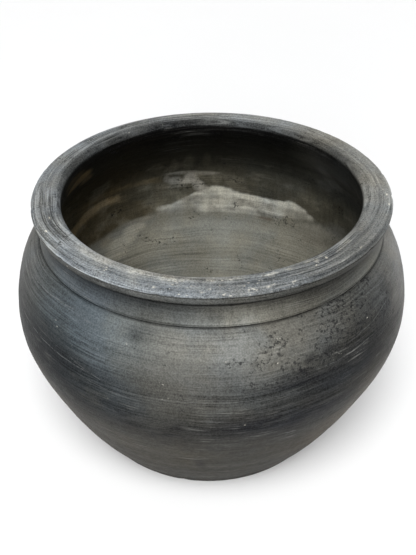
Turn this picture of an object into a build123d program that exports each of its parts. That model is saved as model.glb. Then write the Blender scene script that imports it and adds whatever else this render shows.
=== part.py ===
from build123d import *

import os

# Round-bellied black clay pot with a flat overhanging rim.
# Six formed clay pieces, stacked on one axis and luted together at bevelled
# joints: a base disc, three wall rings, a neck collar and a rim coil.
# Millimetres, +Z up, origin at the centre of the underside.

# ---------------------------------------------------------------- driving sizes
HEIGHT = 279.0            # underside to the top of the rim
BELLY_R = 200.0           # widest radius of the belly
BELLY_Z = 160.0           # height of the widest ring
BASE_R = 131.5            # radius of the flat underside
BASE_EDGE = 2.0           # softening of the underside's edge
FLOOR_T = 13.0            # thickness of the floor

RIM_R = 175.2             # outer radius of the rim
MOUTH_R = 147.0           # clear radius of the mouth
RIM_FACE_Z = 266.5        # lower edge of the rim's outer face
RIM_LINE_Z = 273.4        # fine line scored round the rim's outer face
RIM_LINE_D = 0.7          # depth of that line
NECK_R = 167.6            # tightest outer radius, under the rim
NECK_Z = 258.0            # height of the tightest radius

GROOVE_R = 170.4          # radius at the edges of the collar groove
GROOVE_Z = 238.8          # height of the collar groove
GROOVE_W = 3.0            # width of the collar groove
GROOVE_D = 2.0            # depth of the collar groove

# outer wall between the underside and the groove, as (radius, height)
OUTER_WALL = [
    (BASE_R + 0.9, BASE_EDGE),
    (147.0, 24.6),
    (164.6, 56.2),
    (182.1, 94.2),
    (194.3, 125.6),
    (199.5, 149.6),
    (BELLY_R - 0.4, 171.5),
    (195.0, 196.8),
    (184.9, 222.6),
    (GROOVE_R + 1.4, GROOVE_Z - GROOVE_W / 2),
]

# inner wall from the floor up to the mouth, as (radius, height)
FLOOR_R = 96.0            # where the flat of the floor ends
INNER_WALL = [
    (FLOOR_R, FLOOR_T),
    (122.0, 17.6),
    (141.0, 34.0),
    (153.6, 56.0),
    (171.4, 94.0),
    (183.4, 125.6),
    (188.7, 152.0),
    (188.3, 175.0),
    (182.8, 201.0),
    (171.6, 223.0),
    (159.6, 238.2),
    (150.6, 253.0),
    (MOUTH_R, 268.5),
]

# bevelled lute joints, each from the outer face to the inner face
JOINT_BASE = ((148.0, 10.0), (110.0, 19.0))
JOINT_LOWER = ((195.0, 72.0), (140.0, 88.0))
JOINT_BELLY = ((215.0, 152.0), (170.0, 168.0))
JOINT_SHOULDER = ((175.0, GROOVE_Z), (140.0, GROOVE_Z + 3.4))
JOINT_RIM = ((180.0, 263.2), (140.0, 257.6))
RIM_TOP = ((200.0, HEIGHT + 20.0), (120.0, HEIGHT + 20.0))

# ------------------------------------------------- half section of the whole pot
with BuildSketch() as section:
    with BuildLine():
        # underside and its softened edge
        Line((0, 0), (BASE_R - BASE_EDGE, 0))
        Spline(
            (BASE_R - BASE_EDGE, 0), OUTER_WALL[0],
            tangents=((1, 0), (0.55, 1)),
        )
        # belly
        Spline(*OUTER_WALL, tangents=((0.55, 1), (-1, 0.72)))
        # collar groove
        Line(OUTER_WALL[-1], (GROOVE_R - GROOVE_D, GROOVE_Z))
        Line((GROOVE_R - GROOVE_D, GROOVE_Z), (GROOVE_R, GROOVE_Z + GROOVE_W / 2))
        # hollow neck below the rim
        Spline(
            (GROOVE_R, GROOVE_Z + GROOVE_W / 2),
            (168.4, 247.6),
            (NECK_R, NECK_Z),
            (169.0, 263.6),
            tangents=((-0.34, 1), (0.8, 1)),
        )
        # underside and outer face of the rim, with its scored line
        Spline(
            (169.0, 263.6), (RIM_R - 2.0, RIM_FACE_Z),
            tangents=((0.9, 0.3), (0.5, 1)),
        )
        Line((RIM_R - 2.0, RIM_FACE_Z), (RIM_R - 0.2, RIM_LINE_Z - 0.9))
        Line((RIM_R - 0.2, RIM_LINE_Z - 0.9), (RIM_R - RIM_LINE_D, RIM_LINE_Z))
        Line((RIM_R - RIM_LINE_D, RIM_LINE_Z), (RIM_R, RIM_LINE_Z + 0.9))
        # rounded top of the rim
        Spline(
            (RIM_R, RIM_LINE_Z + 0.9),
            (RIM_R - 2.4, 277.3),
            (RIM_R - 11.0, HEIGHT - 0.2),
            (RIM_R - 18.2, HEIGHT),
            (MOUTH_R + 3.6, 277.9),
            (MOUTH_R + 0.5, 274.4),
            (MOUTH_R, 268.5),
            tangents=((0.1, 1), (0, -1)),
        )
        # inner wall and floor
        Spline(*INNER_WALL[::-1], tangents=((0, -1), (-1, 0)))
        Line(INNER_WALL[0], (0, FLOOR_T))
        Line((0, FLOOR_T), (0, 0))
    make_face()


R_FAR, R_NEAR = 260.0, 100.0   # radii that clear the wall's two faces


def reach(joint):
    """A joint line run on past both faces of the wall."""
    (r0, z0), (r1, z1) = joint
    slope = (z0 - z1) / (r0 - r1)
    return [(r, z0 + slope * (r - r0)) for r in (R_FAR, R_NEAR)]


def band(low, high):
    """Closed outline between two joints, wide enough to span the wall."""
    (far_low, near_low), (far_high, near_high) = reach(low), reach(high)
    return [far_low, far_high, near_high, near_low]




# --------------------------------------------------------------------- base disc
with BuildPart() as base_disc:
    with BuildSketch(Plane.XZ):
        add(section.sketch_local)
        with BuildLine():
            Polyline(
                (-1, -20), (260, -20), (260, JOINT_BASE[0][1]), JOINT_BASE[0],
                JOINT_BASE[1], (JOINT_BASE[1][0], 60), (-1, 60), close=True,
            )
        make_face(mode=Mode.INTERSECT)
    revolve(axis=Axis.Z)
base_disc.part.label = "base_disc"

# ------------------------------------------------------------- lower wall ring
with BuildPart() as lower_wall:
    with BuildSketch(Plane.XZ):
        add(section.sketch_local)
        with BuildLine():
            Polyline(
                JOINT_BASE[1], JOINT_BASE[0], (260, JOINT_BASE[0][1]),
                (260, JOINT_LOWER[0][1]), JOINT_LOWER[0], JOINT_LOWER[1],
                (JOINT_BASE[1][0], JOINT_LOWER[1][1]), close=True,
            )
        make_face(mode=Mode.INTERSECT)
    revolve(axis=Axis.Z)
lower_wall.part.label = "lower_wall"

# ------------------------------------------------------------- belly wall ring
with BuildPart() as belly_wall:
    with BuildSketch(Plane.XZ):
        add(section.sketch_local)
        with BuildLine():
            Polyline(*band(JOINT_LOWER, JOINT_BELLY), close=True)
        make_face(mode=Mode.INTERSECT)
    revolve(axis=Axis.Z)
belly_wall.part.label = "belly_wall"

# ---------------------------------------------------------- shoulder wall ring
with BuildPart() as shoulder_wall:
    with BuildSketch(Plane.XZ):
        add(section.sketch_local)
        with BuildLine():
            Polyline(*band(JOINT_BELLY, JOINT_SHOULDER), close=True)
        make_face(mode=Mode.INTERSECT)
    revolve(axis=Axis.Z)
shoulder_wall.part.label = "shoulder_wall"

# ----------------------------------------------------------------- neck collar
with BuildPart() as neck_collar:
    with BuildSketch(Plane.XZ):
        add(section.sketch_local)
        with BuildLine():
            Polyline(*band(JOINT_SHOULDER, JOINT_RIM), close=True)
        make_face(mode=Mode.INTERSECT)
    revolve(axis=Axis.Z)
neck_collar.part.label = "neck_collar"

# ------------------------------------------------------------------- rim coil
with BuildPart() as rim_coil:
    with BuildSketch(Plane.XZ):
        add(section.sketch_local)
        with BuildLine():
            Polyline(*band(JOINT_RIM, RIM_TOP), close=True)
        make_face(mode=Mode.INTERSECT)
    revolve(axis=Axis.Z)
rim_coil.part.label = "rim_coil"

# ---------------------------------------------------------------------- export
os.makedirs("parts", exist_ok=True)
for piece in (base_disc, lower_wall, belly_wall, shoulder_wall, neck_collar, rim_coil):
    export_step(piece.part, f"parts/{piece.part.label}.step")
    box = piece.part.bounding_box()
    print(
        f"{piece.part.label}: {piece.part.volume / 1000:.1f} cm3, "
        f"z {box.min.Z:.2f} to {box.max.Z:.2f}, r {box.max.X:.2f}"
    )
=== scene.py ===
import math

import bpy
import numpy as np
from mathutils import Matrix, Vector


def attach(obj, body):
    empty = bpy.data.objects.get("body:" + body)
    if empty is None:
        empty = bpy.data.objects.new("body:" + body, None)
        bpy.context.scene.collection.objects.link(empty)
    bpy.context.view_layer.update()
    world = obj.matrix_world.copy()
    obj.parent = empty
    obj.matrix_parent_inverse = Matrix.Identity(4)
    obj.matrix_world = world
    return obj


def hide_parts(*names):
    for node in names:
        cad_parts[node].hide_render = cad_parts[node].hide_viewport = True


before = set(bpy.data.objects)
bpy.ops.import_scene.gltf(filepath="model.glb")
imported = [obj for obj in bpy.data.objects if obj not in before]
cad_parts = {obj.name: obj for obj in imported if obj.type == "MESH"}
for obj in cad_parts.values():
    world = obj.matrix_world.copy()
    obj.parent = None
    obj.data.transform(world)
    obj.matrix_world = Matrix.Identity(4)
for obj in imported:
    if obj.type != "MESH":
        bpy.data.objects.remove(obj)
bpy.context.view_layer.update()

# ------------------------------------------------------------------ pot profile
# (radius, height) in millimetres, the same driving points as the CAD model
OUTER = [(132.4, 2.0), (147.0, 24.6), (164.6, 56.2), (182.1, 94.2), (194.3, 125.6),
         (199.5, 149.6), (199.6, 171.5), (195.0, 196.8), (184.9, 222.6), (171.8, 237.3)]
GROOVE = [(171.8, 237.3), (171.0, 238.0), (168.6, 238.7), (168.4, 239.1), (170.0, 239.8), (170.4, 240.3)]
NECK = [(170.4, 240.3), (168.4, 247.6), (167.6, 258.0), (169.0, 263.6)]
LIP_UNDER = [(169.0, 263.6), (173.2, 266.5)]
LIP_FACE = [(173.2, 266.5), (175.0, 272.5), (174.5, 273.4), (175.2, 274.3)]
RIM = [(175.2, 274.3), (172.8, 277.3), (164.2, 278.8), (157.0, 279.0), (150.6, 277.9), (147.5, 274.4), (147.0, 268.5)]
INNER = [(147.0, 268.5), (150.6, 253.0), (159.6, 238.2), (171.6, 223.0), (182.8, 201.0),
         (188.3, 175.0), (188.7, 152.0), (183.4, 125.6), (171.4, 94.0), (153.6, 56.0),
         (141.0, 34.0), (122.0, 17.6), (96.0, 13.0)]
JOINTS = [((148.0, 10.0), (110.0, 19.0)), ((195.0, 72.0), (140.0, 88.0)),
          ((215.0, 152.0), (170.0, 168.0)), ((175.0, 238.8), (140.0, 242.2)),
          ((180.0, 263.2), (140.0, 257.6))]
NT = 640                                   # facets round the pot


def spline(pts, t0, t1, n):
    P = np.array(pts, float)
    d = np.r_[0, np.cumsum(np.hypot(*np.diff(P, axis=0).T))]
    N = len(P); h = np.diff(d)
    A = np.zeros((N, N)); B = np.zeros((N, 2))
    A[0, 0] = 1; B[0] = np.array(t0) / np.hypot(*t0)
    A[-1, -1] = 1; B[-1] = np.array(t1) / np.hypot(*t1)
    for i in range(1, N - 1):
        A[i, i - 1] = h[i]; A[i, i] = 2 * (h[i - 1] + h[i]); A[i, i + 1] = h[i - 1]
        B[i] = 3 * (h[i] * (P[i] - P[i - 1]) / h[i - 1] + h[i - 1] * (P[i + 1] - P[i]) / h[i])
    M = np.linalg.solve(A, B)
    t = np.linspace(0, d[-1], n)
    k = np.clip(np.searchsorted(d, t, side="right") - 1, 0, N - 2)
    u = ((t - d[k]) / h[k])[:, None]; H = h[k][:, None]
    return ((2 * u**3 - 3 * u**2 + 1) * P[k] + (u**3 - 2 * u**2 + u) * H * M[k]
            + (-2 * u**3 + 3 * u**2) * P[k + 1] + (u**3 - u**2) * H * M[k + 1])


def chain(*segs):
    out = [np.asarray(segs[0], float)]
    for s in segs[1:]:
        out.append(np.asarray(s, float)[1:])
    return np.vstack(out)


CURVE = chain(
    [(0, 0), (129.5, 0)],
    spline([(129.5, 0), OUTER[0]], (1, 0), (0.55, 1), 12),
    spline(OUTER, (0.55, 1), (-1, 0.72), 700),
    GROOVE,
    spline(NECK, (-0.34, 1), (0.8, 1), 80),
    spline(LIP_UNDER, (0.9, 0.3), (0.5, 1), 12),
    LIP_FACE,
    spline(RIM, (0.1, 1), (0, -1), 200),
    spline(INNER, (0, -1), (-1, 0), 700),
    [(96.0, 13.0), (0.0, 13.0)],
)
ARC = np.r_[0, np.cumsum(np.hypot(*np.diff(CURVE, axis=0).T))]


def at(s):
    return np.stack([np.interp(s, ARC, CURVE[:, 0]), np.interp(s, ARC, CURVE[:, 1])], -1)


def arc_of(r, z, lo=0, hi=None):
    hi = hi or ARC[-1]
    s = np.linspace(lo, hi, 40000)
    p = at(s)
    return s[np.argmin((p[:, 0] - r)**2 + (p[:, 1] - z)**2)]


S_TOP = arc_of(160.0, 279.0)
S_EDGE = arc_of(132.4, 2.0)
S_GRV = arc_of(168.4, 239.1)
S_UNDER = arc_of(169.0, 263.6)
S_LINE = arc_of(174.5, 273.4)
S_LIP = arc_of(175.2, 274.3)


def crossing(line, lo, hi):
    (r0, z0), (r1, z1) = line
    s = np.linspace(lo, hi, 60000)
    p = at(s)
    f = (p[:, 0] - r0) * (z1 - z0) - (p[:, 1] - z0) * (r1 - r0)
    k = np.nonzero((np.sign(f[:-1]) != np.sign(f[1:])) & (p[:-1, 0] > 90))[0]
    return s[k[0]]


JO = [crossing(j, 0, S_TOP) for j in JOINTS]
JI = [crossing(j, S_TOP, ARC[-1]) for j in JOINTS]


def rows():
    """Arc positions of the mesh rows: fine at the groove and lip, coarse on the flats."""
    stops = sorted([0.0, S_EDGE, ARC[-1], S_TOP] + JO + JI)
    fine = [(S_GRV - 4, S_GRV + 4, 0.45), (S_UNDER - 3, S_LIP + 5, 0.5),
            (S_LIP + 5, S_TOP + 24, 0.95), (0, S_EDGE - 12, 7.0), (S_EDGE - 12, S_EDGE + 6, 1.0),
            (arc_of(96, 13), ARC[-1], 5.0)]
    out = [0.0]
    for a, b in zip(stops[:-1], stops[1:]):
        s = a
        while s < b - 1e-6:
            step = 1.75
            for lo, hi, st in fine:
                if lo <= s < hi:
                    step = st
            s = min(s + step, b)
            if b - s < step * 0.35:
                s = b
            out.append(s)
    return np.array(out)


S = rows()
ROW = at(S)
TH = (np.arange(NT) + 0.5) / NT * 2 * math.pi - math.pi      # angle, the joint of the grid is at the back
G_TH, G_S = np.meshgrid(TH, S)                               # rows x columns
G_R = np.repeat(ROW[:, :1], NT, 1)
G_Z = np.repeat(ROW[:, 1:], NT, 1)
DEG = np.degrees(G_TH)
IS_OUT = G_S < S_TOP


# ------------------------------------------------------------------ lattice noise
def lattice(seed, nt, ns):
    return np.random.default_rng(seed).uniform(-1, 1, (ns, nt))


def vn(th, s, nt, ds, seed):
    """Smooth noise in -1..1: nt cells round the pot, ds millimetres along the profile."""
    ns = int(900 / ds) + 8
    L = lattice(seed, nt, ns)
    a = (th / (2 * math.pi)) % 1.0 * nt
    b = (s + 40.0) / ds
    i = np.floor(a).astype(int); j = np.floor(b).astype(int)
    u = a - i; v = b - j
    out = np.zeros(np.broadcast(a, b).shape)

    def w(t):
        return ((1 - t)**3 / 6, (3 * t**3 - 6 * t**2 + 4) / 6,
                (-3 * t**3 + 3 * t**2 + 3 * t + 1) / 6, t**3 / 6)
    wu, wv = w(u), w(v)
    for p in range(4):
        for q in range(4):
            out += wu[p] * wv[q] * L[np.clip(j + q - 1, 0, ns - 1), (i + p - 1) % nt]
    return out * 1.9


def fbm(th, s, nt, ds, seed, octaves=4, gain=0.55):
    out = 0; amp = 1; tot = 0
    for k in range(octaves):
        out = out + amp * vn(th, s, nt * 2**k, ds / 2**k, seed + 31 * k)
        tot += amp; amp *= gain
    return out / tot


def smooth(x, a, b):
    t = np.clip((x - a) / (b - a), 0, 1)
    return t * t * (3 - 2 * t)


def dth(th0):
    """Signed angle in degrees from th0."""
    return (DEG - th0 + 180) % 360 - 180


# ------------------------------------------------------------------ hand-made shape
def lean(z):
    return np.interp(z, [0, 80, 160, 277], [-4.0, -2.4, -1.1, 0.0])


wall = IS_OUT & (G_S > S_EDGE) & (G_S < S_GRV)
H = np.zeros_like(G_R)
w_out = smooth(G_S, S_EDGE, S_EDGE + 10) * (1 - smooth(G_S, S_GRV - 9, S_GRV - 2))
H += w_out * (0.55 * vn(G_TH, G_S, 6, 85, 1) + 0.22 * vn(G_TH, G_S, 13, 30, 2))
H += w_out * (0.13 * vn(G_TH, G_S, 3, 6.5, 3) + 0.07 * vn(G_TH, G_S, 9, 3.6, 4))
w_neck = smooth(G_S, S_GRV + 1, S_GRV + 5) * (1 - smooth(G_S, S_UNDER - 3, S_UNDER))
H += w_neck * (0.25 * vn(G_TH, G_S, 9, 22, 5) + 0.12 * vn(G_TH, G_S, 5, 4.5, 6))
w_rim = smooth(G_S, S_LIP - 1, S_LIP + 3) * (1 - smooth(G_S, S_TOP + 22, S_TOP + 34))
H += w_rim * (0.30 * vn(G_TH, G_S, 10, 40, 7) + 0.10 * vn(G_TH, G_S, 4, 3.4, 8) + 0.05 * vn(G_TH, G_S, 60, 3.0, 9))
w_in = smooth(G_S, S_TOP + 24, S_TOP + 40)
H += w_in * (0.6 * vn(G_TH, G_S, 6, 70, 10) + 0.30 * vn(G_TH, G_S, 2, 7.5, 11) + 0.16 * vn(G_TH, G_S, 5, 3.8, 12))
# raised scored ring on the rim's top
H += 0.28 * np.exp(-((G_R - 164.0 - 0.9 * vn(G_TH, G_S * 0, 14, 40, 13)) / 0.8)**2) * w_rim * (G_S < S_TOP + 10)

rng = np.random.default_rng(20)


def dent(th0, s0, rad, depth, stretch=1.0):
    """A small hollow at (angle in degrees, arc), radius in mm, longer round the pot by stretch."""
    global H
    k = np.nonzero(np.abs(S - s0) < rad * 2.6)[0]
    if not len(k):
        return
    r = max(np.interp(s0, ARC, CURVE[:, 0]), 20)
    a = (DEG[k] - th0 + 180) % 360 - 180
    x = np.radians(a) * r / stretch
    y = G_S[k] - s0
    d2 = (x * x + y * y) / rad**2
    H[k] -= depth * np.exp(-d2 * 1.6)


for _ in range(150):                       # pits in the wall
    dent(rng.uniform(-180, 180), rng.uniform(S_EDGE + 12, S_GRV - 6), rng.uniform(0.9, 1.9), rng.uniform(0.12, 0.4))
for _ in range(60):                        # a pitted patch on the right of the shoulder
    dent(rng.normal(-45, 14), S_GRV - abs(rng.normal(22, 16)) - 3, rng.uniform(0.9, 1.8), rng.uniform(0.2, 0.5))
for _ in range(46):                        # chips on the rim's outer edge
    dent(rng.uniform(-180, 180), S_LIP + rng.uniform(-0.5, 3.0), rng.uniform(1.2, 2.6), rng.uniform(0.25, 0.9), rng.uniform(1, 2.4))
for _ in range(70):                        # nicks on the rim's top
    dent(rng.uniform(-180, 180), rng.uniform(S_LIP + 3, S_TOP + 14), rng.uniform(0.9, 1.8), rng.uniform(0.12, 0.4), rng.uniform(1, 2.2))
for _ in range(50):                        # pits inside
    dent(rng.uniform(-180, 180), rng.uniform(S_TOP + 40, ARC[-1] - 110), rng.uniform(1.0, 2.4), rng.uniform(0.2, 0.5))
for _ in range(16):                        # chips on the foot's edge
    dent(rng.uniform(-180, 180), S_EDGE + rng.uniform(-1, 3), rng.uniform(1.5, 3.5), rng.uniform(0.3, 0.9), 1.5)

d = np.gradient(ROW, axis=0)
nrm = np.stack([d[:, 1], -d[:, 0]], -1)
nrm /= np.maximum(np.hypot(nrm[:, 0], nrm[:, 1]), 1e-9)[:, None]
flat = (G_R < 128) & (G_Z < 1.0)                           # the underside stays on the ground
H = np.where(flat, 0, H)
R_ = G_R + nrm[:, :1] * H
Z_ = G_Z + nrm[:, 1:] * H
Z_ = np.where(IS_OUT & (G_S < S_EDGE + 2), np.maximum(Z_, 0.0), Z_)
# slightly out-of-round mouth and belly
oval = 0.7 * np.cos(2 * (G_TH - 0.9)) + 0.4 * np.cos(3 * G_TH + 1.0)
oval *= smooth(G_Z, 0, 60) * smooth(G_R, 20, 90)
R_ = R_ + oval
Z_ = Z_ + 0.5 * np.cos(2 * G_TH + 0.6) * smooth(G_Z, 200, 278)
X = (R_ * np.cos(G_TH) + lean(Z_) * smooth(G_R, 0, 1)) / 1000
Y = R_ * np.sin(G_TH) / 1000
Zm = Z_ / 1000
P = np.stack([X, Y, Zm], -1)                               # rows x columns x 3
dt = np.roll(P, -1, 1) - np.roll(P, 1, 1)
ds = np.gradient(P, axis=0)
NRM = np.cross(dt, ds)
ln = np.linalg.norm(NRM, axis=-1, keepdims=True)
NRM = NRM / np.maximum(ln, 1e-12)
NRM[0] = (0, 0, -1); NRM[-1] = (0, 0, 1)

# ------------------------------------------------------------------ painted tones
TONE = np.zeros(G_R.shape + (3,))          # base albedo, linear
ROUGH = np.full(G_R.shape, 0.45)
STREAK = np.full(G_R.shape, 0.6)
FLECK = np.zeros(G_R.shape)
PIT = np.zeros(G_R.shape)
VERT = np.zeros(G_R.shape)
W1 = fbm(G_TH, G_S, 22, 42, 101, 4, 0.6)
W2 = fbm(G_TH, G_S, 22, 42, 202, 4, 0.6)
CLOUD = fbm(G_TH, G_S, 18, 26, 303, 5, 0.62)
PATCHY = fbm(G_TH, G_S, 60, 12, 404, 4, 0.7)


def put(mask, colour, amount=1.0):
    m = (np.clip(mask, 0, 1) * amount)[..., None]
    TONE[:] = TONE * (1 - m) + np.asarray(colour) * m


def spot(th0, c0, wth, wc, colour, amount=1.0, zone=1.0, ragged=0.35, coord=None, hard=0.0):
    """A soft-edged patch at (degrees, height or radius); ragged bends its outline."""
    c = G_Z if coord is None else coord
    a = dth(th0) / wth + ragged * W1
    b = (c - c0) / wc + ragged * W2
    d2 = a * a + b * b
    m = np.exp(-0.9 * d2) if hard <= 0 else 1 - smooth(np.sqrt(d2), 1 - hard, 1 + hard)
    put(m * zone, colour, amount)
    return m * zone


def curve(x, xs, ys):
    return np.interp(x, xs, ys)


outside = IS_OUT * (1.0 - smooth(G_S, S_GRV - 0.6, S_GRV + 0.6))
neck = smooth(G_S, S_GRV - 0.6, S_GRV + 0.6) * (1 - smooth(G_S, S_UNDER - 1, S_UNDER + 1.5))
lip = smooth(G_S, S_UNDER - 1, S_UNDER + 1.5) * (1 - smooth(G_S, S_LIP - 1, S_LIP + 1))
crown = smooth(G_S, S_LIP - 1, S_LIP + 1) * (1 - smooth(G_S, S_TOP + 13, S_TOP + 19))
inner = smooth(G_S, S_TOP + 13, S_TOP + 19)

# -- outer wall: darker towards the bottom, lighter up the shoulder where it faces the light (partly painted light), with a painted sheen band down the front
# painted highlight: a lighter band down the front at -97 degrees stands for the sheen of the front light
painted_sheen = np.exp(-(dth(-97) / 30)**2)
zw = G_Z + 4 * W1
# the rise of these tones towards 238 mm is partly painted light on the upward-facing shoulder
va = curve(zw, [0, 60, 100, 130, 150, 170, 190, 210, 225, 238], [.017, .020, .029, .023, .030, .050, .064, .108, .146, .154])
vb = curve(zw, [0, 60, 100, 130, 150, 170, 190, 210, 225, 238], [.016, .018, .020, .013, .009, .011, .015, .037, .060, .070])
v = vb * (1 - painted_sheen) + va * painted_sheen
v = v * (1 + 0.22 * CLOUD) * (1 + 0.16 * (1 - smooth(G_Z, 105, 150)))
warm = 0.10 * (1 - smooth(G_Z, 90, 150))
hue = np.stack([1.0 + warm, 1.0 + 0 * v, 0.93 - 1.6 * warm], -1)
blue = np.clip(np.exp(-(dth(-133) / 24)**2) * smooth(G_Z, 120, 170) + 0.35 * (W2 + 0.1), 0, 1)[..., None]
hue = hue * (1 - blue) + np.array([0.83, 1.0, 1.10]) * blue
brown = np.clip((np.exp(-(dth(-36) / 22)**2) + np.exp(-(dth(-150) / 20)**2)) * (1 - smooth(G_Z, 110, 150)), 0, 1)[..., None]
hue = hue * (1 - brown) + np.array([1.20, 1.0, 0.78]) * brown
put(outside, v[..., None] * hue)
# painted reflection: a pale patch at the left silhouette stands for grazing reflection of the room
spot(-172, 230, 16, 20, (.100, .102, .100), .75, outside)
spot(-45, 194, 13, 15, (.003, .004, .005), .65, outside)
# painted reflection: the two pale patches at the right silhouette stand for grazing reflection of the room
spot(-8, 228, 15, 24, (.25, .25, .24), .8, outside)
spot(-14, 190, 10, 34, (.15, .15, .15), .8, outside)
spot(-33, 112, 13, 42, (.082, .068, .048), .85, outside)
spot(-46, 70, 10, 40, (.040, .029, .014), .7, outside)
spot(-148, 105, 10, 42, (.054, .045, .031), .85, outside)
spot(-133, 70, 8, 34, (.024, .019, .010), .6, outside)
spot(-136, 178, 17, 22, (.005, .007, .010), .75, outside)
# painted reflection: a bluish pale patch on the left of the shoulder, with a dimmer one beside it, stands for a soft
# reflection
spot(-112, 219, 13, 19, (.094, .108, .114), .7, outside)
spot(-128, 228, 10, 8, (.068, .076, .080), .5, outside)
spot(-110.5, 229, 3.2, 5, (.030, .035, .038), .75, outside, .5)
spot(-108, 234, 5, 2.2, (.045, .050, .052), .5, outside, .5)
# painted highlight: the warm pale patch on the front of the shoulder and the two below it fill in the vertical sheen of
# the front light
spot(-86, 224, 15, 17, (.170, .167, .150), .6, outside)
spot(-78, 205, 10, 9, (.095, .092, .082), .4, outside)
spot(-97, 195, 9, 26, (.075, .076, .073), .4, outside)
spot(-38, 214, 17, 20, (.018, .019, .020), .6, outside * np.clip(0.5 + 1.6 * PATCHY, 0, 1), .5)
spot(-50, 196, 12, 10, (.022, .023, .024), .5, outside * np.clip(0.5 + 1.6 * PATCHY, 0, 1), .5)
spot(-72, 147, 20, 13, (.004, .005, .008), .8, outside)
spot(-50, 176, 16, 9, (.005, .007, .010), .6, outside)
spot(-66, 186, 10, 2.6, (.003, .004, .006), .7, outside, .3)
spot(-101, 135, 2.4, 2.8, (.002, .002, .003), .85, outside, .5)
spot(-112, 140, 7, 3, (.005, .005, .005), .6, outside, .6)
spot(-93, 75, 1.8, 11, (.003, .003, .004), .6, outside, .5)
spot(-120, 160, 9, 6, (.010, .012, .014), .5, outside)
blot = np.clip(2.6 * (PATCHY + 0.35 * CLOUD) - 0.45, 0, 1)
put(outside * blot * np.exp(-(dth(-106) / 17)**2 - ((G_Z - 146) / 17)**2), (.004, .004, .005), .75)
put(outside * blot * np.exp(-(dth(-60) / 26)**2 - ((G_Z - 205) / 26)**2), (.010, .010, .011), .70)
put(outside * np.clip(2.6 * (-PATCHY) - 0.5, 0, 1) * smooth(G_Z, 60, 120) * (1 - smooth(G_Z, 165, 195)), (.040, .040, .036), .35)

# -- hollow neck: painted shade darkening towards the lip above it, lighter at the collar where it flares to face up (painted light)
# painted highlight at the front (-84 degrees) and painted reflection at the right edge (-18); the height curve below is
# painted shade under the lip
vn_ = 0.058 + 0.078 * np.exp(-(dth(-84) / 15)**2) + 0.05 * np.exp(-(dth(-18) / 16)**2) - 0.02 * np.exp(-(dth(-52) / 12)**2)
vn_ = vn_ * curve(G_Z, [239, 243, 248, 254, 260, 264], [.95, 1.35, 1.1, .72, .42, .2]) * (1 + 0.25 * CLOUD)
hn = np.stack([1.0 + 0 * v, 1.0 + 0 * v, 0.90 + 0 * v], -1)
bl = np.exp(-(dth(-135) / 28)**2)[..., None]
hn = hn * (1 - bl) + np.array([0.86, 1.0, 1.10]) * bl
put(neck, vn_[..., None] * hn)
spot(-66, 244.5, 10, 3, (.075, .073, .066), .5, neck)
spot(-90, 251, 2.2, 6, (.050, .051, .049), .5, neck, .6)

# -- lip face and the rim's top
RIM_TH = [-180, -160, -140, -120, -100, -80, -60, -40, -20, 0, 20, 40, 60, 80, 100, 120, 140, 160, 180]
RIM_V = [.205, .17, .215, .225, .20, .200, .14, .13, .185, .215, .225, .20, .24, .25, .205, .155, .175, .19, .205]
vr = curve(DEG, RIM_TH, RIM_V) * (1 + 0.20 * CLOUD)
near_in = np.exp(-(dth(-112) / 34)**2) * (1 - smooth(G_R, 154, 165))
vr = vr * (1 + 0.55 * near_in)
# painted shade: the inner rounding of the rim darkens on the far side, where it turns away from the light
far_inner_shade = np.clip(smooth(np.abs(dth(-90)), 75, 110), 0, 1)
vr = vr * (1 - 0.75 * far_inner_shade * (1 - smooth(G_R, 149.5, 157.5)))
hr = np.stack([0.94 + 0 * v, 1.0 + 0 * v, 1.03 + 0 * v], -1)
wr = np.clip(np.exp(-(dth(20) / 45)**2) + 0.8 * near_in, 0, 1)[..., None]
hr = hr * (1 - wr) + np.array([1.02, 1.0, 0.90]) * wr
put(crown + lip, np.clip(vr, 0, .6)[..., None] * hr)
# lip face: painted shade on its underside (264-266 mm) and in the notch at 273.4 mm, a painted highlight just below the
# notch, and lighter towards the front (painted highlight)
vl = 0.048 + 0.016 * np.exp(-(dth(-95) / 30)**2) - 0.014 * np.exp(-(dth(-48) / 20)**2)
vl = vl * curve(G_Z, [264, 266, 267.5, 270, 272.6, 273.4, 274.3], [.15, .35, .9, 1.15, 1.2, .4, 1.1]) * (1 + 0.3 * CLOUD)
put(lip, vl[..., None] * np.array([0.99, 1.0, 0.93]))
top = crown * (G_S < S_TOP + 14)
on_lip_top = smooth(G_S, S_UNDER + 4.2, S_UNDER + 5.6)
for th0, r0, a, b, c, m in [
        (-52, 159, 20, 6, (.060, .066, .073), .7), (-48, 173.5, 24, 2.2, (.035, .038, .042), .8),
        (-118, 166, 13, 3, (.105, .115, .122), .6), (-97, 170, 11, 2.4, (.095, .103, .110), .6),
        (-138, 172.5, 8, 2.2, (.050, .053, .056), .7), (-72, 163, 12, 3, (.11, .12, .125), .5),
        (-160, 160, 10, 7, (.105, .11, .112), .5), (112, 158, 22, 5, (.095, .097, .097), .4),
        (45, 156, 20, 4, (.085, .083, .075), .5), (88, 166, 9, 4, (.24, .225, .19), .4),
        (20, 168, 14, 3.5, (.25, .245, .23), .5), (-150, 156, 8, 4, (.20, .20, .195), .5),
        (-128, 157, 12, 3.5, (.34, .335, .31), .55), (-104, 155, 12, 2.6, (.34, .33, .30), .5),
        (-176, 168, 10, 3, (.21, .21, .205), .4), (178, 158, 12, 4, (.20, .20, .195), .4)]:
    spot(th0, r0, a, b, c, m, top, .45, G_R)
chalk = np.clip(3.2 * (PATCHY + 0.25 * CLOUD) - 0.35, 0, 1)
edge_in = np.exp(-((G_R - 156.2) / 3.0)**2) * np.exp(-(dth(-92) / 42)**2)
put(top * chalk * edge_in, (.56, .54, .47), .92)
put(top * chalk * np.exp(-(dth(-108) / 20)**2) * np.exp(-((G_R - 165) / 7)**2), (.34, .34, .31), .45)
put(top * np.clip(3.0 * (-PATCHY) - 0.2, 0, 1) * np.exp(-(dth(-80) / 50)**2), (.070, .080, .090), .50)
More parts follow.
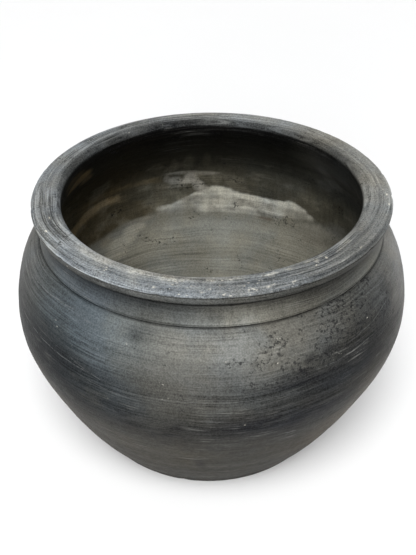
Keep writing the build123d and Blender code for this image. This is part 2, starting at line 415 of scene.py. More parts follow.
for th0, r0, a, b in [(-106.5, 170.6, 0.75, 1.5), (-93, 171.4, 0.8, 1.0), (-91, 168.2, 0.7, .9), (-79, 170.8, 0.9, 1.0),
                      (-74.5, 171.2, 1.2, 1.0), (-73, 169.5, .6, .8), (-88, 163, .7, .8), (-67, 171.8, .8, .8),
                      (-57, 162, .5, 1.1), (-52, 158.6, .5, .9), (-40, 170, .6, .8), (-6, 169, 1.0, 1.6),
                      (-3, 166, .7, 1.2), (-12, 171, .8, 1.2), (-159, 160, 1.0, 1.2), (-152, 169, .8, 1.0)]:
    spot(th0, r0, 0.62 * a, 0.62 * b, (.60, .57, .49), .85, top, .15, G_R, .4)
# rubbed pale ring on the top, and a dark one beside it
wob = 0.9 * vn(G_TH, G_S * 0, 14, 40, 13)
put(top * np.exp(-((G_R - 164.0 - wob) / 0.9)**2), (.26, .262, .25), .35)
put(top * np.exp(-((G_R - 161.2 - wob) / 1.1)**2), (.070, .073, .076), .35)
put(top * np.exp(-((G_R - 170.6 - wob) / 0.8)**2), (.24, .242, .235), .25)

# -- inside: darker towards the top, a mineral tide line, pale olive silt below
# the tone darkens towards the top of the inside, under the rim
top_dark = curve(G_Z + 5 * W1, [175, 190, 200, 220, 240, 255, 270], [.062, .048, .036, .021, .008, .003, .0015])
top_dark_rt = curve(G_Z + 5 * W2, [150, 190, 200, 220, 240, 255, 270], [.120, .058, .060, .070, .052, .026, .007])
rt = np.clip(1 - smooth(np.abs(dth(22)), 16, 36), 0, 1)
vi = (top_dark * (1 - rt) + top_dark_rt * rt) * (1 + 0.45 * CLOUD)
hi = np.stack([1.02 + 0 * v, 1.0 + 0 * v, 0.80 + 0 * v], -1)
oc = np.exp(-(dth(140) / 26)**2)[..., None]
hi = hi * (1 - oc) + np.array([1.30, 1.0, 0.50]) * oc
hi = hi * (1 - rt[..., None]) + np.array([1.0, 1.0, 0.93]) * rt[..., None]
put(inner, vi[..., None] * hi)
edge_n = 3.2 * PATCHY + 1.6 * CLOUD + 0.8 * vn(G_TH, G_S * 0, 160, 40, 606)


def between(ths, tops, bottoms, soft_t=1.6, soft_b=2.0):
    """A band inside the pot between two wavy edges given at a few angles, with its distance from each edge."""
    a_ = np.where(DEG < -90, DEG + 360, DEG)
    up_ = curve(a_, ths, tops) + edge_n - G_Z
    dn_ = G_Z - curve(a_, ths, bottoms) - edge_n
    ends = smooth(a_, ths[0], ths[0] + 4) * (1 - smooth(a_, ths[-1] - 4, ths[-1]))
    m = smooth(up_, -soft_t, soft_t) * smooth(dn_, -soft_b, soft_b) * ends
    return m, up_, dn_


TIDE_TH = [-180, -90, 0, 26, 36, 46, 56, 70, 93, 104, 114, 124, 135, 150, 180]
TIDE_Z = [150, 152, 150, 150, 148, 149, 143, 140, 140, 142, 140, 138, 135, 132, 150]
tide = curve(DEG, TIDE_TH, TIDE_Z) + 2.2 * W1 + 1.8 * PATCHY
below = 1 - smooth(G_Z, tide - 6, tide + 6)
silt = 0.185 * (1 + 0.13 * CLOUD)
rings = 0.55 * vn(G_TH, G_S, 2, 4.6, 505) + 0.45 * vn(G_TH, G_S, 3, 2.6, 506) + 0.35 * vn(G_TH, G_S, 2, 10, 507)
silt = silt * (1 + 0.20 * rings * smooth(G_Z, 66, 84) * (1 - smooth(G_Z, 118, 132)) + 0.06 * rings)
silt = silt * curve(G_Z, [13, 60, 90, 118, 126, 134, 140, 175], [1.0, 1.0, 1.0, 1.08, 1.10, .86, .95, .9])
silt = silt * (1 + 0.24 * np.exp(-(dth(83) / 8)**2) * (1 - smooth(G_Z, 108, 130)))
hs = np.array([1.01, 1.0, 0.86])
# brown-grey wall between the soot and the silt
mid_m = (1 - smooth(G_Z, 178 + 6 * W2, 206 + 6 * W2)) * smooth(G_Z, tide, tide + 4)
mid = curve(np.where(DEG < -90, DEG + 360, DEG), [0, 26, 40, 52, 66, 84, 100, 116, 130, 150, 180],
            [.10, .10, .080, .095, .068, .066, .115, .078, .062, .080, .10]) * (1 + 0.30 * CLOUD + 0.25 * PATCHY)
hm = np.stack([1.04 + 0 * v, 1.0 + 0 * v, 0.78 + 0 * v], -1)
ocm = np.exp(-(dth(138) / 20)**2)[..., None]
hm = hm * (1 - ocm) + np.array([1.26, 1.0, 0.56]) * ocm
put(inner * mid_m, mid[..., None] * hm, .95)
put(inner * below, silt[..., None] * hs, 1.0)
# pale tide band with bright wavy edges
bm, up_, dn_ = between([47, 51, 55, 59, 63, 72, 78, 81, 85, 89, 92, 95, 98, 104, 112],
                       [152, 157, 163, 164, 161.5, 161.5, 162, 165, 170, 171, 169, 165, 158, 150, 147],
                       [150, 149, 145, 142, 138.5, 137.5, 137.5, 137, 137, 137, 137, 138, 139, 140, 141], 1.7, 4.0)
lum = 0.420 * (1 + 0.45 * CLOUD + 0.80 * PATCHY)
lum = lum + (0.17 * np.exp(-((up_ - 3.0) / 3.4)**2) * (0.7 + 1.2 * PATCHY) + 0.15 * np.exp(-((dn_ - 5.0) / 3.6)**2) * (0.8 + 0.8 * CLOUD) * smooth(DEG, 54, 62) * (1 - smooth(DEG, 92, 98)))
lum = lum * (0.80 + 0.40 * np.exp(-np.maximum(up_, 0) / 9.0)) * (1 + 0.35 * vn(G_TH, G_S, 10, 2.2, 611))
lum = lum * (1 - 0.50 * smooth(DEG, 91, 98))
put(inner * bm, np.clip(lum, .03, .6)[..., None] * np.array([1.0, 1.0, 0.90]), .97)
# ochre scum line over a dark brown field, to the left
om, ou, od = between([122, 125, 130, 137, 144, 150, 156], [177, 181.5, 182.5, 180, 173, 165, 158],
                     [166, 169, 172, 167, 156, 147, 141], 2.6, 4.0)
put(inner * om * np.clip(.75 + PATCHY, 0, 1), (.36, .280, .165), .8)
dm, du, dd = between([112, 117, 124, 131, 138, 145, 152], [160, 164, 169, 171, 167, 158, 148],
                     [143, 141, 138, 136, 134, 132, 130], 3, 3)
put(inner * dm, np.clip(.066 * (1 + 0.4 * PATCHY), .01, 1)[..., None] * np.array([1.2, 1.0, .62]), .85)
um, uu, ud = between([106, 114, 124, 136, 146], [190, 193, 195, 192, 184], [184, 185, 187, 184, 176], 3, 3)
put(inner * um * np.clip(.7 + PATCHY, 0, 1), (.150, .115, .062), .6)
for th0, z0, a, b, c, m in [
        (100, 179.5, 5.4, 3.2, (.42, .41, .36), .9), (103.5, 182, 3.2, 5.5, (.33, .32, .28), .8),
        (97, 184, 2.6, 8, (.40, .39, .35), .85), (94.5, 174, 2.2, 6, (.40, .39, .35), .85), (92.6, 167, 2.4, 5, (.42, .41, .37), .8), (91, 191.5, 5.5, 2.8, (.25, .243, .215), .75),
        (100, 194, 6.5, 2.4, (.26, .253, .22), .7), (108, 176, 3, 5, (.16, .15, .12), .5), (106.5, 186, 1.3, 5, (.26, .25, .22), .7),
        (95.2, 171, 1.4, 7, (.27, .265, .235), .7), (83, 187, 5, 4, (.135, .130, .105), .55),
        (103, 174, 4, 2.4, (.22, .21, .175), .6), (58, 188, 6, 4, (.115, .112, .095), .5),
        (76, 180, 8, 3, (.115, .108, .082), .45), (56, 150, 5, 6, (.16, .157, .135), .5),
        (120, 128, 5, 6, (.40, .38, .315), .75), (126, 119, 7, 7, (.38, .36, .295), .75),
        (131, 110, 6, 8, (.33, .31, .25), .65), (118, 137, 5, 3, (.26, .245, .20), .6),
        (133, 126, 3, 6, (.28, .26, .205), .5), (113, 120, 5, 8, (.215, .21, .175), .5),
        (46, 130, 6, 10, (.215, .205, .175), .4), (36, 150, 6, 12, (.155, .155, .142), .5),
        (158, 252, 10, 6, (.115, .083, .040), .85), (150, 242, 4, 6, (.100, .073, .038), .7),
        (165, 262, 9, 4, (.040, .030, .015), .6), (68, 134, 3, 2.0, (.13, .105, .080), .6),
        (98, 208, 2.0, 14, (.070, .066, .050), .5), (104, 205, 1.4, 12, (.072, .068, .052), .5),
        (91, 212, 1.6, 14, (.058, .055, .042), .5), (111, 206, 3, 9, (.050, .045, .032), .45),
        (38, 228, 5, 16, (.115, .117, .113), .55), (44, 210, 3.5, 8, (.105, .107, .103), .5)]:
    spot(th0, z0, a, b, c, m, inner, .45, None, .35)
speck = inner * np.clip(3.0 * (PATCHY - 0.12), 0, 1) * (1 - smooth(G_Z, 195, 225)) * smooth(G_Z, 126, 136)
put(speck, (.24, .225, .18), .25)
put(inner * np.clip(3.0 * (-PATCHY - 0.15), 0, 1) * (1 - smooth(G_Z, 185, 215)) * smooth(G_Z, 112, 134), (.050, .045, .034), .30)

# -- broad drifts of smoke and wear, and painted highlight and reflection on the shoulder: where, angle, height, widths and how much lighter or darker
for zone, th0, z0, a, b, g in [
        (outside, -50, 165, 14, 30, 1.2), (outside, -55, 70, 30, 40, 1.15), (outside, -112, 70, 20, 40, 1.15),
        # painted highlight at -85 and -116 degrees on the shoulder, painted reflection at -26 near the right edge
        (outside, -26, 200, 13, 12, 1.35), (outside, -85, 227, 9, 10, 1.1), (outside, -116, 226, 7, 10, 1.2),
        (outside, -122, 150, 10, 22, 1.15), (inner, 89, 253, 9, 24, 0.75), (inner, 137, 203, 9, 24, 0.8),
        (inner, 108, 125, 8, 18, 1.1), (inner, 53, 220, 9, 24, 1.1)]:
    m = np.exp(-((dth(th0) / a + 0.2 * W1)**2 + ((G_Z - z0) / b + 0.2 * W2)**2)) * zone
    TONE[:] = TONE * np.power(g, m)[..., None]

# -- painted shade in the collar groove with painted highlights on its edges, and a painted shadow under the lip
gz = G_Z + 0.25 * vn(G_TH, G_S * 0, 20, 40, 707)
side_l = 0.45 + 0.55 * np.clip(np.exp(-(dth(-108) / 14)**2) + np.exp(-(dth(-35) / 30)**2), 0, 1)
# painted shade: dark lines at 238.6 and 241.1 mm; painted highlight: pale lines at 240.1 and 242.4 mm
fac = (1 - 0.66 * np.exp(-((gz - 238.6) / 0.75)**2)) * (1 + 0.35 * np.exp(-((gz - 240.1) / 0.5)**2))
fac = fac * (1 - 0.50 * side_l * np.exp(-((gz - 241.1) / 0.55)**2)) * (1 + 0.22 * np.exp(-((gz - 242.4) / 0.8)**2))
fac = np.where(IS_OUT & (G_Z < 250), fac, 1.0)
# painted shadow under the lip's overhang
lip_shadow = np.where(IS_OUT, np.exp(-(np.maximum(np.abs(G_Z - 264.0) - 1.6, 0) / 1.9)**2), 0) * (1 - on_lip_top)
fac = fac * (1 - 0.93 * lip_shadow)
TONE[:] = TONE * fac[..., None]

# -- underside and foot: bare, rubbed
under = IS_OUT * (1 - smooth(G_S, S_EDGE - 6, S_EDGE + 3))
put(under, (.050, .047, .042), 1.0)
put(under * np.clip(0.5 + 1.2 * CLOUD, 0, 1), (.095, .085, .070), .6)
TONE[:] = np.clip(TONE, 0.0012, 0.7)

ROUGH += 0.10 * crown + 0.16 * inner + 0.06 * outside * (1 - smooth(G_Z, 60, 150)) + 0.15 * under
STREAK[:] = 0.85 * outside + 0.5 * neck + 1.0 * lip + 1.35 * crown + (0.45 + 0.25 * (1 - smooth(G_Z, 112, 132))) * inner
STREAK *= 1 + 0.6 * CLOUD
STREAK += 0.2 * outside * np.exp(-((G_Z - 150) / 26)**2)
FLECK += 0.55 * crown * np.exp(-(dth(-88) / 34)**2) + 0.25 * crown + 0.30 * outside * smooth(G_Z, 110, 180) + 0.3 * lip
FLECK += 0.25 * inner * (1 - smooth(G_Z, 170, 210))
PIT += 1.2 * outside * np.exp(-(dth(-50) / 22)**2) * smooth(G_Z, 180, 200) + 0.25 * outside * smooth(G_Z, 120, 160) + 0.3 * inner + 0.25 * crown
PIT += 0.9 * outside * np.exp(-(dth(-73) / 9)**2 - ((G_Z - 192) / 9)**2)
PIT += 0.8 * outside * np.exp(-(dth(-84) / 5)**2 - ((G_Z - 213) / 8)**2)
PIT -= 0.25 * outside * np.exp(-(dth(-125) / 26)**2)
PIT += 1.1 * outside * np.exp(-(dth(-50) / 15)**2 - ((G_Z - 212) / 15)**2)
VERT += 0.45 * neck * np.exp(-(dth(-86) / 30)**2) + 0.12 * neck
VERT += outside * (0.45 * np.exp(-(dth(-80) / 24)**2) * smooth(G_Z, 60, 150) + 0.35 * (1 - smooth(G_Z, 120, 150)))
VERT += 0.5 * inner * smooth(G_Z, 128, 150) * (1 - smooth(G_Z, 230, 250))

# ------------------------------------------------------------------ mesh building
MATS = {}


def make_piece(name, node, a_out, b_out, a_in, b_in, mat_of):
    """One clay piece: outer rows a..b, inner rows a..b (inner rows run downwards), and its joint faces."""
    verts, faces, mats, loopn = [], [], [], []
    ids_out = list(range(a_out, b_out + 1))
    ids_in = list(range(a_in, b_in + 1))
    pole_bottom = a_out == 0
    if b_out == a_in:                      # the rim: outer and inner rows are one run
        ids = list(range(a_out, b_in + 1)); runs = [ids]
    else:
        runs = [ids_out, ids_in]
    vid = {}
    for ids in runs:
        for i in ids:
            if i == 0 or i == len(S) - 1:
                vid[i] = len(verts); verts.append(P[i, 0].tolist())
            else:
                vid[i] = len(verts); verts.extend(P[i].tolist())
    nverts = len(verts)
    cols = np.arange(NT); nxt = (cols + 1) % NT
    quads, qn, qm = [], [], []
    tris, tn, tm = [], [], []
    for ids in runs:
        for i, j in zip(ids[:-1], ids[1:]):
            if i == 0:
                q = np.stack([np.full(NT, vid[i]), vid[j] + nxt, vid[j] + cols], -1)
                tris.append(q); tn.append(np.stack([NRM[i][cols], NRM[j][nxt], NRM[j][cols]], 1))
                tm.append(np.full(NT, mat_of(i)))
            elif j == len(S) - 1:
                q = np.stack([vid[i] + cols, vid[i] + nxt, np.full(NT, vid[j])], -1)
                tris.append(q); tn.append(np.stack([NRM[i][cols], NRM[i][nxt], NRM[j][cols]], 1))
                tm.append(np.full(NT, mat_of(i)))
            else:
                q = np.stack([vid[i] + cols, vid[i] + nxt, vid[j] + nxt, vid[j] + cols], -1)
                quads.append(q)
                qn.append(np.stack([NRM[i][cols], NRM[i][nxt], NRM[j][nxt], NRM[j][cols]], 1))
                qm.append(np.full(NT, mat_of(i)))

    def joint(i_from, i_to, flip):
        # rows of a bevelled joint face between the wall's two skins
        nonlocal nverts
        p, q = P[i_from], P[i_to]
        steps = 4
        ring = [vid[i_from]]
        for k in range(1, steps):
            t = k / steps
            ring.append(len(verts)); verts.extend((p * (1 - t) + q * t).tolist())
        ring.append(vid[i_to])
        e = q - p
        n = np.cross(np.roll(p, -1, 0) - p, e)
        n /= np.linalg.norm(n, axis=-1, keepdims=True)
        for a, b in zip(ring[:-1], ring[1:]):
            f = np.stack([a + cols, a + nxt, b + nxt, b + cols], -1)
            nn = n
            if flip:
                f = f[:, ::-1]; nn = -n
            quads.append(f); qn.append(np.repeat(nn[:, None], 4, 1)); qm.append(np.full(NT, 3))

    if b_out != a_in:
        joint(b_out, a_in, False)          # upper joint
    if not pole_bottom:
        joint(a_out, b_in, True)           # lower joint
    nq = sum(len(q) for q in quads); nt_ = sum(len(t) for t in tris)
    Q = np.concatenate(quads); QN = np.concatenate(qn); QM = np.concatenate(qm)
    loops = Q.ravel(); loopn = QN.reshape(-1, 3); mats = QM
    starts = np.arange(nq) * 4; sizes = np.full(nq, 4)
    if nt_:
        T = np.concatenate(tris); TN = np.concatenate(tn)
        starts = np.r_[starts, nq * 4 + np.arange(nt_) * 3]; sizes = np.r_[sizes, np.full(nt_, 3)]
        loops = np.r_[loops, T.ravel()]; loopn = np.r_[loopn, TN.reshape(-1, 3)]; mats = np.r_[mats, np.concatenate(tm)]
    me = bpy.data.meshes.new(name)
    V = np.array(verts, np.float32)
    me.vertices.add(len(V)); me.vertices.foreach_set("co", V.ravel())
    me.loops.add(len(loops)); me.loops.foreach_set("vertex_index", loops.astype(np.int32))
    me.polygons.add(len(starts))
    me.polygons.foreach_set("loop_start", starts.astype(np.int32))
    me.polygons.foreach_set("loop_total", sizes.astype(np.int32))
    me.polygons.foreach_set("material_index", mats.astype(np.int32))
    me.polygons.foreach_set("use_smooth", np.ones(len(starts), bool))
    me.update(calc_edges=True)
    me.validate()
    # painted attributes
    tone = np.full((len(V), 4), 1.0, np.float32); ctrl = np.full((len(V), 4), 1.0, np.float32)
    wear = np.full((len(V), 4), 1.0, np.float32)
    tone[:, :3] = 0.06; ctrl[:, 0] = 0.6; ctrl[:, 1] = 0.3; ctrl[:, 2] = 0; wear[:, :3] = 0
    for i, v0 in vid.items():
        k = 1 if i in (0, len(S) - 1) else NT
        tone[v0:v0 + k, :3] = TONE[i, :k]
        ctrl[v0:v0 + k, 0] = ROUGH[i, :k]; ctrl[v0:v0 + k, 1] = STREAK[i, :k]; ctrl[v0:v0 + k, 2] = FLECK[i, :k]
        wear[v0:v0 + k, 0] = PIT[i, :k]; wear[v0:v0 + k, 1] = VERT[i, :k]
    for nm, arr in (("tone", tone), ("ctrl", ctrl), ("wear", wear)):
        at_ = me.attributes.new(nm, "FLOAT_COLOR", "POINT")
        at_.data.foreach_set("color", arr.ravel())
    me.normals_split_custom_set(loopn.astype(np.float32))
    for m in ("clay_wall", "clay_rim", "clay_inside", "clay_raw"):
        me.materials.append(MATS[m])
    ob = bpy.data.objects.new(name, me)
    bpy.context.scene.collection.objects.link(ob)
    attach(ob, "root")
    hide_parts(node)
    return ob


# ------------------------------------------------------------------ materials
class Nodes:
    """Short calls for building a node tree."""

    def __init__(self, name):
        self.m = bpy.data.materials.new(name)
        self.m.use_nodes = True
        self.t = self.m.node_tree
        self.t.nodes.clear()
        self.out = self.t.nodes.new("ShaderNodeOutputMaterial")
        self.bsdf = self.t.nodes.new("ShaderNodeBsdfPrincipled")
        self.t.links.new(self.bsdf.outputs[0], self.out.inputs[0])

    def _in(self, sock, v):
        if isinstance(v, bpy.types.NodeSocket):
            self.t.links.new(v, sock)
        elif v is not None:
            sock.default_value = v

    def math(self, op, a, b=None, c=None, clamp=False):
        n = self.t.nodes.new("ShaderNodeMath"); n.operation = op; n.use_clamp = clamp
        for k, v in enumerate((a, b, c)):
            self._in(n.inputs[k], v)
        return n.outputs[0]

    def vmath(self, op, a, b=None, out=0):
        n = self.t.nodes.new("ShaderNodeVectorMath"); n.operation = op
        self._in(n.inputs[0], a); self._in(n.inputs[1], b)
        return n.outputs[out]

    def xyz(self, v):
        n = self.t.nodes.new("ShaderNodeSeparateXYZ"); self._in(n.inputs[0], v)
        return n.outputs

    def vec(self, x, y, z):
        n = self.t.nodes.new("ShaderNodeCombineXYZ")
        for k, v in enumerate((x, y, z)):
            self._in(n.inputs[k], v)
        return n.outputs[0]

    def noise(self, v, scale=1.0, detail=2.0, rough=0.5, dist=0.0):
        n = self.t.nodes.new("ShaderNodeTexNoise"); self._in(n.inputs["Vector"], v)
        n.inputs["Scale"].default_value = scale; n.inputs["Detail"].default_value = detail
        n.inputs["Roughness"].default_value = rough; n.inputs["Distortion"].default_value = dist
        return n.outputs["Fac"]

    def voronoi(self, v, scale=1.0, feature="F1", out="Distance", rand=1.0):
        n = self.t.nodes.new("ShaderNodeTexVoronoi"); n.feature = feature; self._in(n.inputs["Vector"], v)
        n.inputs["Scale"].default_value = scale; n.inputs["Randomness"].default_value = rand
        return n.outputs[out]

    def ramp(self, v, lo, hi, a=0.0, b=1.0, kind="SMOOTHSTEP"):
        n = self.t.nodes.new("ShaderNodeMapRange"); n.interpolation_type = kind
        self._in(n.inputs[0], v)
        for k, x in zip((1, 2, 3, 4), (lo, hi, a, b)):
            self._in(n.inputs[k], x)
        return n.outputs[0]

    def mix(self, f, a, b, blend="MIX"):
        n = self.t.nodes.new("ShaderNodeMix"); n.data_type = "RGBA"; n.blend_type = blend
        n.clamp_factor = True
        self._in(n.inputs[0], f)
        for s, v in ((n.inputs[6], a), (n.inputs[7], b)):
            self._in(s, v if isinstance(v, bpy.types.NodeSocket) else tuple(v) + (1.0,))
        return n.outputs[2]

    def attr(self, name):
        n = self.t.nodes.new("ShaderNodeAttribute"); n.attribute_type = "GEOMETRY"; n.attribute_name = name
        return n.outputs["Color"]


# long fine scratches: (from degrees, height mm, to degrees, height mm, half width mm, strength)
SCRATCHES = [(-158, 225.5, -131, 231.5, 0.42, 0.8), (-151, 188.5, -120, 185.5, 0.40, 0.9),
             (-131, 192.5, -118, 181.5, 0.34, 0.7), (-128, 179.0, -111, 174.0, 0.36, 0.5),
             (-116, 207.5, -84, 206.5, 0.36, 0.55), (-108, 180.2, -66, 179.0, 0.34, 0.5),
             (-100, 177.2, -58, 178.0, 0.30, 0.4), (-52, 205.0, -30, 213.5, 0.36, 0.7),
             (-65, 194.0, -38, 197.5, 0.36, 0.6), (-44, 232.0, -27, 228.0, 0.40, 0.5),
             (-148, 196.0, -134, 193.0, 0.36, 0.45), (-93.5, 158.5, -86.5, 158.0, 0.5, 0.6),
             (-71.5, 125.5, -66.5, 123.0, 0.7, 0.9), (-70, 121.0, -67.5, 126.0, 0.5, 0.6)]


def clay(name, lines=1.0, flecks=1.0, grain=1.0, spec=0.10, scratched=False, kr=0.6, long=1.0, dash=0.5, dusty=0.22, lift_=1.0):
    k = Nodes(name)
    tc = k.t.nodes.new("ShaderNodeTexCoord").outputs["Object"]
    x, y, z = k.xyz(tc)
    r = k.math("SQRT", k.math("ADD", k.math("MULTIPLY", x, x), k.math("MULTIPLY", y, y)))
    q = k.math("SUBTRACT", z, k.math("MULTIPLY", r, kr))
    warp = k.math("MULTIPLY", k.math("SUBTRACT", k.noise(tc, 9.0, 1.0), 0.5), 0.012)
    q = k.math("ADD", q, warp)

    def ring(xy, qz, detail, rough):
        return k.noise(k.vec(k.math("MULTIPLY", x, xy), k.math("MULTIPLY", y, xy), k.math("MULTIPLY", q, qz)), 1.0, detail, rough)

    def centred(v, amp):
        return k.math("MULTIPLY", k.math("SUBTRACT", v, 0.5), amp)

    fine = ring(22.0 / long, 640.0, 4.0, 0.66)
    short = ring(80.0 / long, 470.0, 3.0, 0.66)
    broad = ring(8.0, 120.0, 3.0, 0.55)
    where = k.ramp(ring(10.0, 26.0, 2.0, 0.5), 0.36, 0.66, 0.25, 1.5)
    blotch = k.noise(tc, 26.0, 6.0, 0.66)
    mott = k.noise(tc, 170.0, 4.0, 0.68)
    grit = k.noise(tc, 680.0, 3.0, 0.70)
    ctl = k.xyz(k.attr("ctrl"))
    wear = k.xyz(k.attr("wear"))
    tone = k.attr("tone")
    # brightness factor from turning lines, clouds and grain
    st = k.math("ADD", centred(k.ramp(fine, 0.38, 0.62), 0.52 * lines), k.math("ADD", centred(k.ramp(short, 0.36, 0.64), 0.42 * lines * dash), centred(broad, 0.8 * lines)))
    st = k.math("MULTIPLY", k.math("MULTIPLY", st, where), ctl[1])
    f = k.math("ADD", st, k.math("ADD", centred(blotch, 0.65), k.math("ADD", centred(mott, 0.40 * grain), centred(k.ramp(grit, 0.36, 0.64), 0.60 * grain))))
    upright = k.noise(k.vec(k.math("MULTIPLY", x, 210.0), k.math("MULTIPLY", y, 210.0), k.math("MULTIPLY", z, 24.0)), 1.0, 3.0, 0.65)
    f = k.math("ADD", f, k.math("MULTIPLY", centred(k.ramp(upright, 0.34, 0.66), 0.42), wear[1]))
    f = k.math("ADD", f, 1.0)
    f = k.math("MAXIMUM", f, 0.38)
    n = k.t.nodes.new("ShaderNodeVectorMath"); n.operation = "SCALE"
    k._in(n.inputs[0], tone); k._in(n.inputs["Scale"], f)
    lift = k.math("ADD", centred(k.ramp(fine, 0.34, 0.66), 0.013 * lines * lift_), k.math("ADD", centred(k.ramp(grit, 0.32, 0.68), 0.013 * lift_), centred(k.ramp(short, 0.36, 0.64), 0.006 * lift_)))
    col = k.vmath("MAXIMUM", k.vmath("ADD", n.outputs[0], k.vec(lift, lift, lift)), (0.0012, 0.0012, 0.0012))
    # warm and cool drift in the smoked surface
    drift = k.ramp(k.noise(tc, 14.0, 4.0, 0.6), 0.38, 0.64)
    col = k.mix(1.0, col, k.mix(drift, (1.03, 1.0, 0.94), (0.97, 1.0, 1.03)), "MULTIPLY")
    # pale chips and mineral flecks
    v1 = k.voronoi(k.vec(k.math("MULTIPLY", x, 0.6), k.math("MULTIPLY", y, 0.6), q), 330.0)
    pick = k.noise(tc, 60.0, 3.0, 0.7)
    fl = k.math("MULTIPLY", k.ramp(v1, 0.12, 0.30, 1.0, 0.0), k.ramp(k.math("ADD", pick, k.math("MULTIPLY", ctl[2], 0.30)), 0.72, 0.80))
    col = k.mix(k.math("MULTIPLY", fl, 0.75 * flecks), col, (0.52, 0.50, 0.44))
    # dusty lines rubbed pale along the turning direction
    dust = k.math("MULTIPLY", k.ramp(ring(30.0, 620.0, 3.0, 0.65), 0.55, 0.68), k.ramp(ring(16.0, 60.0, 2.0, 0.6), 0.50, 0.66))
    col = k.mix(k.math("MULTIPLY", dust, k.math("MULTIPLY", ctl[1], dusty * lines)), col, (0.42, 0.42, 0.39))
    # dark pits
    v2 = k.noise(k.vec(k.math("MULTIPLY", x, 0.8), k.math("MULTIPLY", y, 0.8), z), 360.0, 3.0, 0.65)
    pick2 = k.noise(tc, 42.0, 3.0, 0.65)
    pt = k.math("MULTIPLY", k.ramp(v2, 0.53, 0.61, 0.0, 1.0), k.ramp(k.math("ADD", pick2, k.math("MULTIPLY", wear[0], 0.20)), 0.62, 0.72))
    col = k.mix(k.math("MULTIPLY", pt, 0.75), col, (0.008, 0.008, 0.009))
    sc_ = None
    if scratched:
        th = k.math("MULTIPLY", k.math("ARCTAN2", y, x), 180.0 / math.pi)
        wig = k.math("MULTIPLY", k.math("SUBTRACT", k.noise(tc, 60.0, 2.0, 0.6), 0.5), 0.0026)
        gap = k.ramp(k.noise(tc, 190.0, 2.0, 0.6), 0.40, 0.56, 0.25, 1.0)
        for a0, z0, a1, z1, hw, amp in SCRATCHES:
            line = k.math("ADD", k.math("MULTIPLY", k.math("SUBTRACT", th, a0), (z1 - z0) / (a1 - a0) / 1000.0), z0 / 1000.0)
            dist = k.math("ABSOLUTE", k.math("SUBTRACT", k.math("ADD", z, wig), line))
            m = k.ramp(dist, hw * 0.0004, hw * 0.0015, amp, 0.0)
            mid = k.math("ABSOLUTE", k.math("SUBTRACT", th, (a0 + a1) / 2))
            half = abs(a1 - a0) / 2
            m = k.math("MULTIPLY", m, k.ramp(mid, half * 0.7, half, 1.0, 0.0))
            sc_ = m if sc_ is None else k.math("MAXIMUM", sc_, m)
        sc_ = k.math("MULTIPLY", sc_, gap)
        col = k.mix(k.math("MULTIPLY", sc_, 0.27), col, (0.30, 0.31, 0.31))
    k._in(k.bsdf.inputs["Base Color"], col)
    rg = k.math("ADD", ctl[0], k.math("ADD", centred(fine, 0.22), centred(mott, 0.30)))
    rg = k.math("ADD", rg, k.math("MULTIPLY", fl, 0.3))
    k._in(k.bsdf.inputs["Roughness"], k.math("MINIMUM", k.math("MAXIMUM", rg, 0.25), 0.95))
    k.bsdf.inputs["IOR"].default_value = 1.5
    k.bsdf.inputs["Specular IOR Level"].default_value = spec
    hgt = k.math("ADD", k.math("MULTIPLY", k.math("MULTIPLY", fine, 0.35), ctl[1]), k.math("ADD", k.math("MULTIPLY", grit, 0.40), k.math("MULTIPLY", mott, 0.7)))
    hgt = k.math("ADD", hgt, k.math("SUBTRACT", k.math("MULTIPLY", fl, 0.2), k.math("MULTIPLY", pt, 0.9)))
    if sc_ is not None:
        hgt = k.math("SUBTRACT", hgt, k.math("MULTIPLY", sc_, 0.4))
    b = k.t.nodes.new("ShaderNodeBump"); b.inputs["Strength"].default_value = 0.5; b.inputs["Distance"].default_value = 0.0006
    k._in(b.inputs["Height"], hgt)
    k._in(k.bsdf.inputs["Normal"], b.outputs[0])
    return k.m


MATS["clay_wall"] = clay("clay_wall", 0.90, 1.0, 0.60, 0.06, True, 0.6, 1.6, 0.4, 0.28, 0.8)
MATS["clay_rim"] = clay("clay_rim", 1.25, 1.3, 1.0, 0.09, False, 1.0, 1.8, 0.5, 0.50)
MATS["clay_inside"] = clay("clay_inside", 0.7, 0.5, 0.5, 0.07, False, 0.35, 3.5, 0.35, 0.2, 0.3)
MATS["clay_raw"] = clay("clay_raw", 0.2, 0.2, 1.0, 0.09)


def nearest_row(s):
    return int(np.argmin(np.abs(S - s)))


RO_ = [nearest_row(s) for s in JO]
RI_ = [nearest_row(s) for s in JI]
I_LIPU = nearest_row(S_UNDER)
I_MOUTH = nearest_row(S_TOP + 22)


def mat_of(i):
    if i < I_LIPU:
        return 0
    if i < I_MOUTH:
        return 1
    return 2


last = len(S) - 1
make_piece("base_disc_clay", "base_disc", 0, RO_[0], RI_[0], last, mat_of)
make_piece("lower_wall_clay", "lower_wall", RO_[0], RO_[1], RI_[1], RI_[0], mat_of)
make_piece("belly_wall_clay", "belly_wall", RO_[1], RO_[2], RI_[2], RI_[1], mat_of)
make_piece("shoulder_wall_clay", "shoulder_wall", RO_[2], RO_[3], RI_[3], RI_[2], mat_of)
make_piece("neck_collar_clay", "neck_collar", RO_[3], RO_[4], RI_[4], RI_[3], mat_of)
i_top = nearest_row(S_TOP)
make_piece("rim_coil_clay", "rim_coil", RO_[4], i_top, i_top, RI_[4], mat_of)

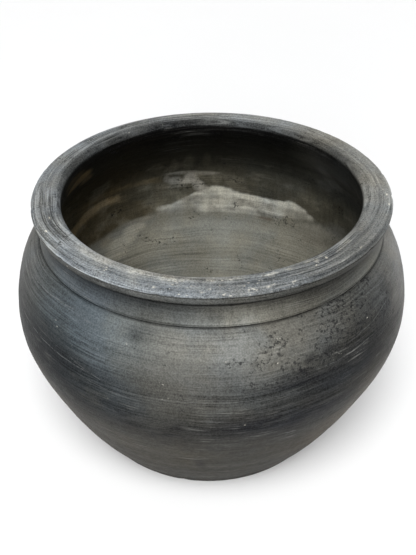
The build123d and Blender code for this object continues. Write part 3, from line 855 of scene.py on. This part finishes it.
# ------------------------------------------------------------------ floor
me = bpy.data.meshes.new("floor")
n = 24
fx = np.linspace(-12, 12, n)
vv = [(a, b, 0.0) for b in fx for a in fx]
ff = [(j * n + i, j * n + i + 1, (j + 1) * n + i + 1, (j + 1) * n + i) for j in range(n - 1) for i in range(n - 1)]
me.from_pydata(vv, [], ff)
floor = bpy.data.objects.new("floor", me)
bpy.context.scene.collection.objects.link(floor)
fm = Nodes("floor_pale")
fm.bsdf.inputs["Roughness"].default_value = 0.9
fm.bsdf.inputs["Specular IOR Level"].default_value = 0.1
ftc = fm.t.nodes.new("ShaderNodeTexCoord").outputs["Object"]
fm._in(fm.bsdf.inputs["Base Color"], fm.mix(fm.noise(ftc, 3.0, 2.0), (0.90, 0.90, 0.90), (0.92, 0.92, 0.92)))
me.materials.append(fm.m)

# ------------------------------------------------------------------ light
sc = bpy.context.scene
w = bpy.data.worlds.new("studio")
sc.world = w
w.use_nodes = True
nt = w.node_tree
nt.nodes.clear()
bg = nt.nodes.new("ShaderNodeBackground")
wo = nt.nodes.new("ShaderNodeOutputWorld")
nt.links.new(bg.outputs[0], wo.inputs[0])
wc = nt.nodes.new("ShaderNodeTexCoord")
ws = nt.nodes.new("ShaderNodeSeparateXYZ")
nt.links.new(wc.outputs["Generated"], ws.inputs[0])


def wmap(v, lo, hi, a, b):
    n_ = nt.nodes.new("ShaderNodeMapRange"); n_.interpolation_type = "SMOOTHSTEP"
    nt.links.new(v, n_.inputs[0])
    for k_, x_ in zip((1, 2, 3, 4), (lo, hi, a, b)):
        n_.inputs[k_].default_value = x_
    return n_.outputs[0]


def wmath(op, a, b):
    n_ = nt.nodes.new("ShaderNodeMath"); n_.operation = op
    for k_, v_ in enumerate((a, b)):
        if isinstance(v_, bpy.types.NodeSocket):
            nt.links.new(v_, n_.inputs[k_])
        else:
            n_.inputs[k_].default_value = v_
    return n_.outputs[0]


# a room with pale walls behind and beside the pot, and a dimmer ceiling
wall_band = wmap(ws.outputs[2], 0.25, 0.62, 1.0, 0.0)
side = wmap(ws.outputs[1], -0.75, 0.0, 0.25, 1.0)
nt.links.new(wmath("ADD", 0.24, wmath("MULTIPLY", wmath("MULTIPLY", wall_band, side), 0.58)), bg.inputs[1])
bg.inputs[0].default_value = (0.98, 0.99, 1.0, 1)


def area(name, loc, target, size, power, colour=(1, 1, 1), size_y=None):
    L = bpy.data.lights.new(name, "AREA")
    L.shape = "RECTANGLE"; L.size = size; L.size_y = size_y or size
    L.energy = power; L.color = colour
    o = bpy.data.objects.new(name, L)
    o.location = loc
    o.rotation_euler = (Vector(target) - Vector(loc)).to_track_quat("-Z", "Y").to_euler()
    sc.collection.objects.link(o)
    return o


def sun(name, direction, power, spread, colour=(1, 1, 1)):
    L = bpy.data.lights.new(name, "SUN")
    L.energy = power; L.angle = math.radians(spread); L.color = colour
    o = bpy.data.objects.new(name, L)
    o.rotation_euler = (-Vector(direction)).to_track_quat("-Z", "Y").to_euler()
    o.location = Vector(direction) * 2
    sc.collection.objects.link(o)
    return o


sun("key", (-0.06, -0.50, 0.86), 2.66, 30)
area("strip", (-0.30, -2.30, 1.15), (0, 0, 0.18), 0.55, 26, size_y=1.7)

sc.view_settings.view_transform = "Standard"
sc.view_settings.look = "None"
sc.view_settings.exposure = 0.0
sc.view_settings.gamma = 1.0

# ------------------------------------------------------------------ camera
UNIT = 0.1752
e, roll = math.radians(35.88), math.radians(-0.31)
D, F_PX = 5.0, 829.3
fwd = Vector((0, math.cos(e), -math.sin(e)))
right = Vector((1, 0, 0)); up = right.cross(fwd)
r_ = right * math.cos(roll) + up * math.sin(roll)
u_ = -right * math.sin(roll) + up * math.cos(roll)
loc = (Vector((-0.0232, 0, -0.6196)) - fwd * D) * UNIT + Vector((0, 0, 0.277))
cam = bpy.data.cameras.new("camera")
cam.sensor_fit = "AUTO"; cam.sensor_width = 36.0
cam.lens = F_PX * 36.0 / 555.0
cam.clip_start = 0.01; cam.clip_end = 50
co = bpy.data.objects.new("camera", cam)
M = Matrix((r_, u_, -fwd)).transposed().to_4x4()
M.translation = loc
co.matrix_world = M
sc.collection.objects.link(co)
sc.camera = co
